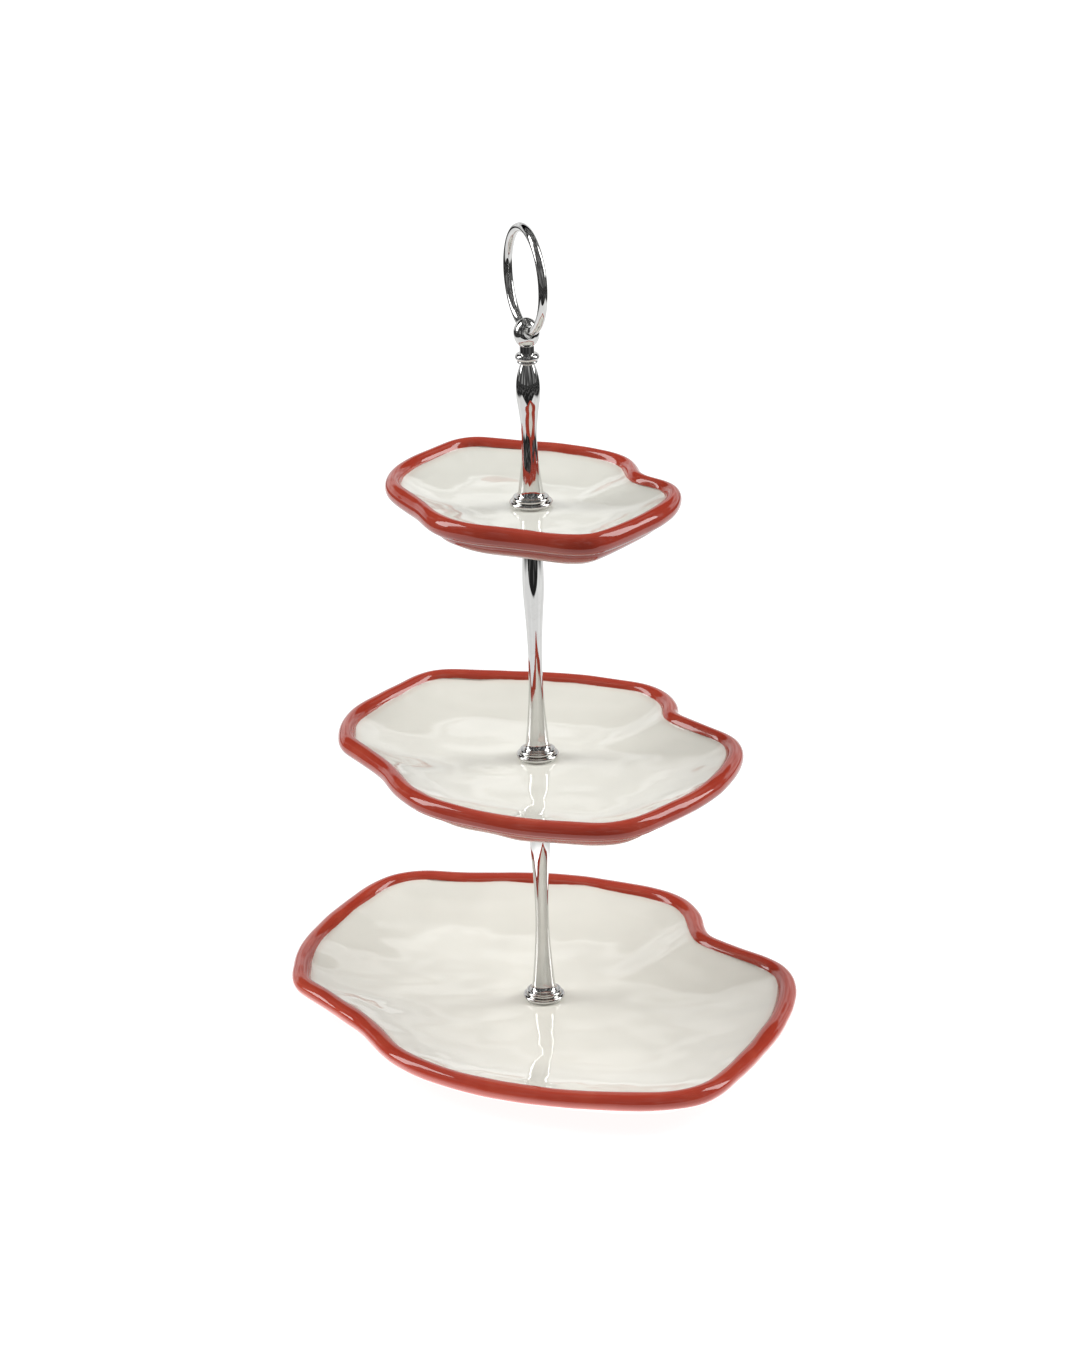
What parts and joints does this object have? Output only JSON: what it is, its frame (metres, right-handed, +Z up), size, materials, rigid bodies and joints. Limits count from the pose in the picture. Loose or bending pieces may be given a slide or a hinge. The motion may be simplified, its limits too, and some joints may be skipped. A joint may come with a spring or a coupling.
{
  "type": "tiered cake stand",
  "caption": "Tiered cake stand with dished glazed stoneware plates of freeform outline on a turned chromed rod, with a carry ring on top.",
  "frame": {"origin": "on the rod's axis at the surface that the stand rests on", "axes": "+Z up along the rod; the bottom plate's longest diagonal runs from -X+Y to +X-Y, 30 degrees off Y"},
  "size_m": [0.2521, 0.2597, 0.4047],
  "materials": {
    "glazed_stoneware": "glossy glaze, cream with a terracotta red rim",
    "polished_chrome": "polished",
    "zinc_steel": "zinc plated, satin",
    "clear_pad": "translucent soft plastic, satin"
  },
  "bodies": {
    "rod": {"bottom_plate": "glazed_stoneware", "base_screw": "zinc_steel", "bottom_support_washer": "zinc_steel", "bottom_lower_pad": "clear_pad", "bottom_upper_pad": "clear_pad", "bottom_seat_washer": "polished_chrome", "lower_column": "polished_chrome", "lower_stud": "zinc_steel", "middle_support_washer": "zinc_steel", "middle_lower_pad": "clear_pad", "middle_upper_pad": "clear_pad", "middle_seat_washer": "polished_chrome", "middle_column": "polished_chrome", "upper_stud": "zinc_steel", "top_support_washer": "zinc_steel", "top_lower_pad": "clear_pad", "top_upper_pad": "clear_pad", "top_seat_washer": "polished_chrome", "handle_column": "polished_chrome", "finial_washer": "polished_chrome", "eye_finial": "polished_chrome"},
    "middle_tier": {"middle_plate": "glazed_stoneware"},
    "top_tier": {"top_plate": "glazed_stoneware"},
    "ring": {"carry_ring": "polished_chrome"}
  },
  "joints": [
    {"name": "ring_swing", "type": "hinge", "parent": "rod", "child": "ring", "pos_m": [0, 0, 0.3544], "axis": [0.3305, -0.9438, 0], "range_deg": [-170, 170]},
    {"name": "middle_tier_swivel", "type": "hinge", "parent": "rod", "child": "middle_tier", "pos_m": [0, 0, 0.1389], "axis": [0, 0, 1], "continuous": true},
    {"name": "top_tier_swivel", "type": "hinge", "parent": "rod", "child": "top_tier", "pos_m": [0, 0, 0.2683], "axis": [0, 0, 1], "continuous": true}
  ]
}
